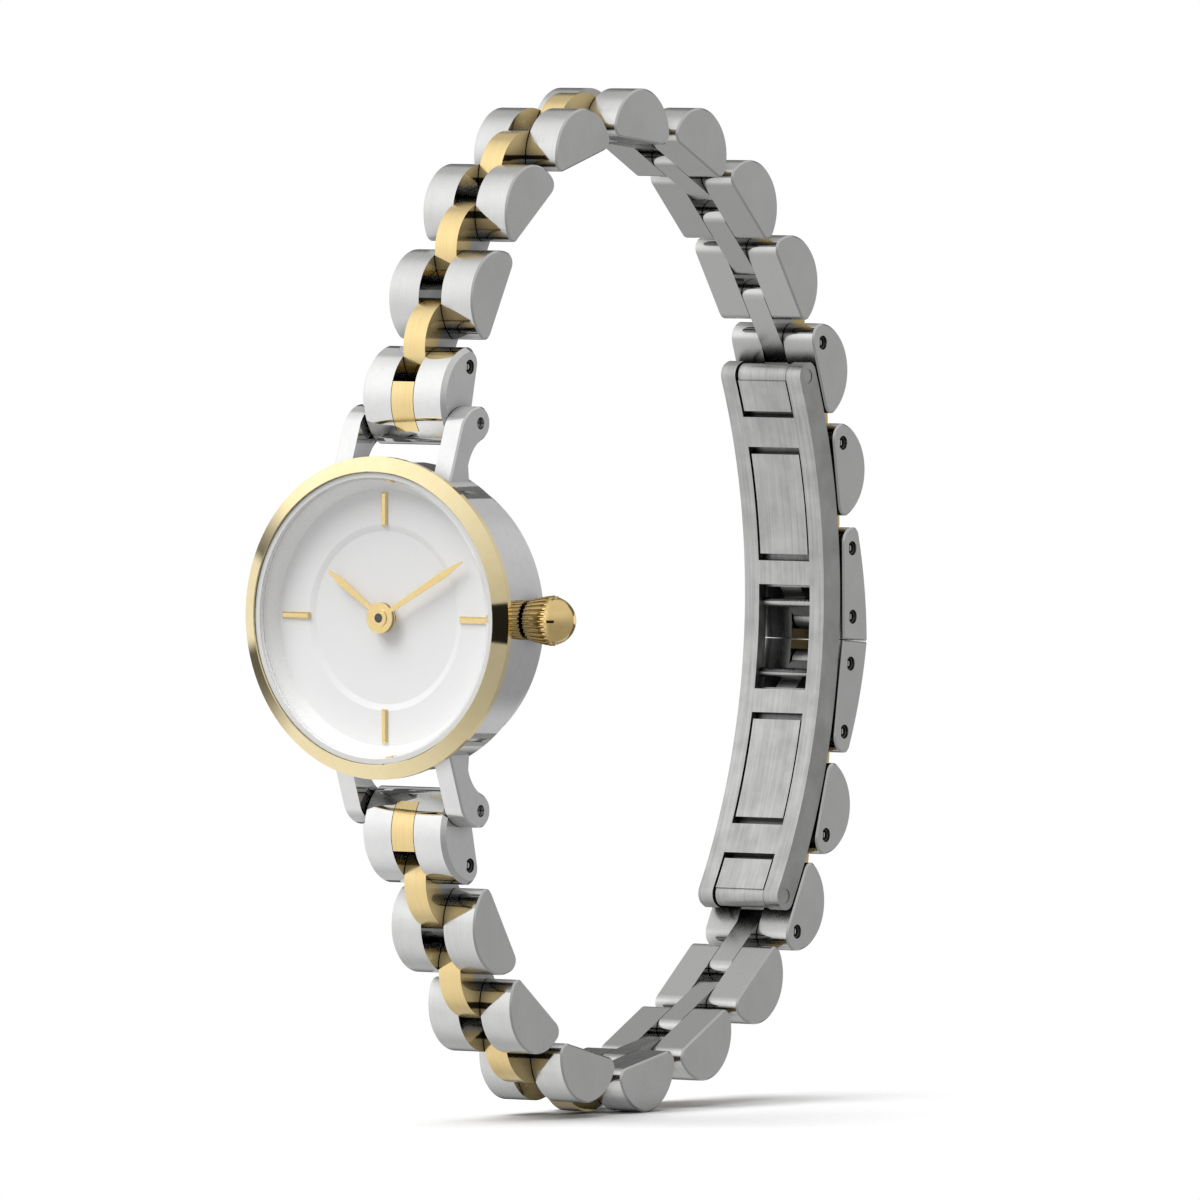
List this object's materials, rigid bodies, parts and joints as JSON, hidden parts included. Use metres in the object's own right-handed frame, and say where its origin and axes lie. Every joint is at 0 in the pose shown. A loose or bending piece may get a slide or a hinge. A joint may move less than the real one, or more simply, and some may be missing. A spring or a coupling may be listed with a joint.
{
  "type": "bracelet watch",
  "caption": "Small round analogue wristwatch with a conical bezel, onion crown and a two-tone link bracelet closed by a folding clasp.",
  "frame": {"origin": "centre of the case back's outer face", "axes": "+Y out of the case back towards the wrist, so the dial faces -Y; +Z towards 12 o'clock; +X towards the crown at 3 o'clock"},
  "size_m": [0.0249, 0.055, 0.0706],
  "materials": {
    "polished_steel": "polished stainless steel",
    "satin_steel": "finely brushed stainless steel",
    "gold": "pale gold plating on steel, polished or satin",
    "crystal_glass": "clear mineral glass, polished",
    "dial_white": "satin white",
    "ring_white": "satin white",
    "seal": "translucent nylon",
    "movement_metal": "nickel-plated brass"
  },
  "bodies": {
    "case": {"case_middle": "polished_steel", "bezel": "gold", "crystal": "crystal_glass", "gaskets": "seal", "rehaut_ring": "ring_white", "dial": "dial_white", "hour_markers": "gold", "movement": "movement_metal", "battery": "satin_steel", "case_back": "polished_steel"},
    "winding_stem": {"winding_stem": "satin_steel"},
    "crown": {"crown": "gold"},
    "hour_hand": {"hour_hand": "gold"},
    "minute_hand": {"minute_hand": "gold"},
    "lower_end_link": {"lower_end_link": "polished_steel", "lower_end_link_cap": "gold"},
    "lower_link_1": {"lower_link_1": "polished_steel", "lower_link_1_cap": "gold"},
    "lower_link_2": {"lower_link_2": "polished_steel", "lower_link_2_cap": "gold"},
    "lower_link_3": {"lower_link_3": "polished_steel", "lower_link_3_cap": "gold"},
    "lower_link_4": {"lower_link_4": "polished_steel", "lower_link_4_cap": "gold"},
    "lower_link_5": {"lower_link_5": "polished_steel", "lower_link_5_cap": "gold"},
    "lower_link_6": {"lower_link_6": "polished_steel", "lower_link_6_cap": "gold"},
    "lower_link_7": {"lower_link_7": "polished_steel", "lower_link_7_cap": "gold"},
    "lower_clasp_link": {"lower_clasp_link": "polished_steel", "lower_clasp_link_cap": "gold"},
    "upper_end_link": {"upper_end_link": "polished_steel", "upper_end_link_cap": "gold", "upper_spring_bar": "satin_steel"},
    "upper_link_1": {"upper_link_1": "polished_steel", "upper_link_1_cap": "gold"},
    "upper_link_2": {"upper_link_2": "polished_steel", "upper_link_2_cap": "gold"},
    "upper_link_3": {"upper_link_3": "polished_steel", "upper_link_3_cap": "gold"},
    "upper_link_4": {"upper_link_4": "polished_steel", "upper_link_4_cap": "gold"},
    "upper_link_5": {"upper_link_5": "polished_steel", "upper_link_5_cap": "gold"},
    "upper_link_6": {"upper_link_6": "polished_steel", "upper_link_6_cap": "gold"},
    "upper_link_7": {"upper_link_7": "polished_steel", "upper_link_7_cap": "gold"},
    "upper_link_8": {"upper_link_8": "polished_steel", "upper_link_8_cap": "gold"},
    "upper_clasp_link": {"upper_clasp_link": "polished_steel", "upper_clasp_link_cap": "gold"},
    "lower_clasp_row": {"lower_clasp_row": "polished_steel", "lower_clasp_row_cap": "gold"},
    "lower_clasp_arm": {"lower_clasp_arm": "satin_steel"},
    "upper_clasp_row": {"upper_clasp_row": "polished_steel", "upper_clasp_row_cap": "gold"},
    "upper_clasp_arm": {"upper_clasp_arm": "satin_steel"},
    "clasp_base_plate": {"clasp_base_plate": "satin_steel"}
  },
  "joints": [
    {"name": "lower_end_link_hinge", "type": "hinge", "parent": "case", "child": "lower_end_link", "pos_m": [0, -0.0011, -0.0132], "axis": [-1, 0, 0], "range_deg": [0, 13]},
    {"name": "lower_link_1_hinge", "type": "hinge", "parent": "lower_end_link", "child": "lower_link_1", "pos_m": [0, -0.00022, -0.017], "axis": [-1, 0, 0], "range_deg": [0, 19.8]},
    {"name": "lower_link_2_hinge", "type": "hinge", "parent": "lower_link_1", "child": "lower_link_2", "pos_m": [0, 0.00593, -0.02654], "axis": [-1, 0, 0], "range_deg": [0, 20.7]},
    {"name": "lower_link_3_hinge", "type": "hinge", "parent": "lower_link_2", "child": "lower_link_3", "pos_m": [0, 0.01195, -0.031], "axis": [-1, 0, 0], "range_deg": [0, 22.9]},
    {"name": "lower_link_4_hinge", "type": "hinge", "parent": "lower_link_3", "child": "lower_link_4", "pos_m": [0, 0.01924, -0.03277], "axis": [-1, 0, 0], "range_deg": [0, 24.1]},
    {"name": "lower_link_5_hinge", "type": "hinge", "parent": "lower_link_4", "child": "lower_link_5", "pos_m": [0, 0.02662, -0.0314], "axis": [-1, 0, 0], "range_deg": [0, 16.3]},
    {"name": "lower_link_6_hinge", "type": "hinge", "parent": "lower_link_5", "child": "lower_link_6", "pos_m": [0, 0.03331, -0.02802], "axis": [-1, 0, 0], "range_deg": [0, 11.8]},
    {"name": "lower_link_7_hinge", "type": "hinge", "parent": "lower_link_6", "child": "lower_link_7", "pos_m": [0, 0.03917, -0.02334], "axis": [-1, 0, 0], "range_deg": [0, 23]},
    {"name": "lower_clasp_link_hinge", "type": "hinge", "parent": "lower_link_7", "child": "lower_clasp_link", "pos_m": [0, 0.04274, -0.01674], "axis": [-1, 0, 0], "range_deg": [0, 10.81]},
    {"name": "lower_clasp_row_hinge", "type": "hinge", "parent": "lower_clasp_link", "child": "lower_clasp_row", "pos_m": [0, 0.04501, -0.00959], "axis": [-1, 0, 0], "range_deg": [0, 8.21]},
    {"name": "lower_clasp_arm_fold", "type": "hinge", "parent": "lower_clasp_row", "child": "lower_clasp_arm", "pos_m": [0, 0.04579, -0.00486], "axis": [-1, 0, 0], "range_deg": [0, 150]},
    {"name": "clasp_base_plate_turn", "type": "hinge", "parent": "lower_clasp_arm", "child": "clasp_base_plate", "pos_m": [0, 0.03796, -0.0208], "axis": [-1, 0, 0], "range_deg": [-150, 0]},
    {"name": "upper_clasp_arm_fold", "type": "hinge", "parent": "clasp_base_plate", "child": "upper_clasp_arm", "pos_m": [0, 0.04073, 0.01537], "axis": [1, 0, 0], "range_deg": [0, 150]},
    {"name": "upper_clasp_row_turn", "type": "hinge", "parent": "upper_clasp_arm", "child": "upper_clasp_row", "pos_m": [0, 0.04604, -0.00158], "axis": [1, 0, 0], "range_deg": [-150, 0]},
    {"name": "upper_clasp_link_hinge", "type": "hinge", "parent": "upper_clasp_row", "child": "upper_clasp_link", "pos_m": [0, 0.04599, 0.00322], "axis": [-1, 0, 0], "range_deg": [0, 8.21]},
    {"name": "upper_link_8_hinge", "type": "hinge", "parent": "upper_clasp_link", "child": "upper_link_8", "pos_m": [0, 0.04484, 0.01063], "axis": [-1, 0, 0], "range_deg": [0, 10.78]},
    {"name": "upper_link_7_hinge", "type": "hinge", "parent": "upper_link_8", "child": "upper_link_7", "pos_m": [0, 0.04232, 0.0177], "axis": [-1, 0, 0], "range_deg": [0, 14.6]},
    {"name": "upper_link_6_hinge", "type": "hinge", "parent": "upper_link_7", "child": "upper_link_6", "pos_m": [0, 0.03811, 0.0239], "axis": [-1, 0, 0], "range_deg": [0, 11.9]},
    {"name": "upper_link_5_hinge", "type": "hinge", "parent": "upper_link_6", "child": "upper_link_5", "pos_m": [0, 0.0327, 0.0291], "axis": [-1, 0, 0], "range_deg": [0, 16.8]},
    {"name": "upper_link_4_hinge", "type": "hinge", "parent": "upper_link_5", "child": "upper_link_4", "pos_m": [0, 0.02603, 0.03252], "axis": [-1, 0, 0], "range_deg": [0, 20.2]},
    {"name": "upper_link_3_hinge", "type": "hinge", "parent": "upper_link_4", "child": "upper_link_3", "pos_m": [0, 0.01858, 0.03342], "axis": [-1, 0, 0], "range_deg": [0, 22.5]},
    {"name": "upper_link_2_hinge", "type": "hinge", "parent": "upper_link_3", "child": "upper_link_2", "pos_m": [0, 0.01136, 0.0314], "axis": [-1, 0, 0], "range_deg": [0, 21.6]},
    {"name": "upper_link_1_hinge", "type": "hinge", "parent": "upper_link_2", "child": "upper_link_1", "pos_m": [0, 0.00538, 0.02687], "axis": [-1, 0, 0], "range_deg": [0, 23.2]},
    {"name": "upper_end_link_hinge", "type": "hinge", "parent": "upper_link_1", "child": "upper_end_link", "pos_m": [0, -0.00022, 0.017], "axis": [-1, 0, 0], "range_deg": [0, 16.6], "deforming": ["upper_spring_bar"]},
    {"name": "crown_pull", "type": "slide", "parent": "case", "child": "winding_stem", "axis": [1, 0, 0], "range_m": [0, 0.0008]},
    {"name": "crown_turn", "type": "hinge", "parent": "winding_stem", "child": "crown", "pos_m": [0.0115, -0.00295, 0], "axis": [1, 0, 0], "continuous": true},
    {"name": "minute_hand_turn", "type": "hinge", "parent": "case", "child": "minute_hand", "pos_m": [0, -0.00554, 0], "axis": [0, 1, 0], "continuous": true},
    {"name": "hour_hand_turn", "type": "hinge", "parent": "case", "child": "hour_hand", "pos_m": [0, -0.00528, 0], "axis": [0, 1, 0], "continuous": true}
  ],
  "couplings": [
    {"joint": "clasp_base_plate_turn", "follows": "lower_clasp_arm_fold", "ratio": -1},
    {"joint": "upper_clasp_row_turn", "follows": "upper_clasp_arm_fold", "ratio": -1},
    {"joint": "hour_hand_turn", "follows": "minute_hand_turn", "ratio": 0.083333}
  ]
}
